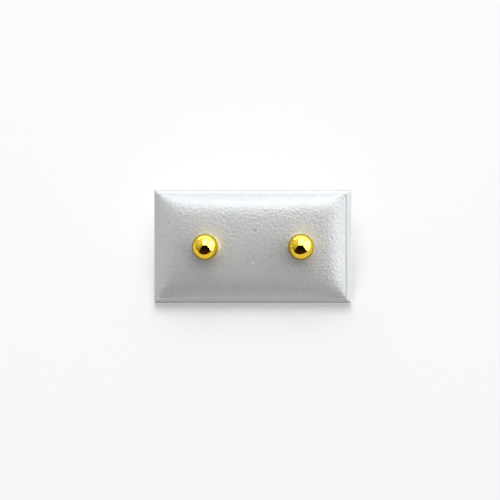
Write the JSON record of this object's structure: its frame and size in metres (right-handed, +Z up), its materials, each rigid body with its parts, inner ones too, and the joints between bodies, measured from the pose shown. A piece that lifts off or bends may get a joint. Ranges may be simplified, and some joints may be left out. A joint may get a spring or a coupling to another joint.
{
  "type": "pair of ball stud earrings on a puffed display card",
  "caption": "Polished ball stud earrings pinned through a small puffed leatherette display card, which leans back on their posts.",
  "frame": {"origin": "middle of the bottom of the whole part's box, on the surface that the lower back edge of the card and the post tips stand on", "axes": "+X along the card's long side, to the right as seen from the front; -Y toward the viewer, with the card's lower edge in front; +Z up"},
  "size_m": [0.0382, 0.0204, 0.0137],
  "materials": {
    "white_board": "white paperboard, matt, with a dry cut edge",
    "leatherette": "silver-white embossed leatherette with a satin sheen and a fine pebbled grain",
    "polished_gold": "mirror-polished yellow gold",
    "clutch_gold": "bright pressed yellow metal, a little duller than the ball"
  },
  "bodies": {
    "root": {"backing_board": "white_board", "puff_pad": "leatherette", "ear_stud_left": "polished_gold", "ear_stud_right": "polished_gold", "clutch_left": "clutch_gold", "clutch_right": "clutch_gold"}
  },
  "joints": []
}
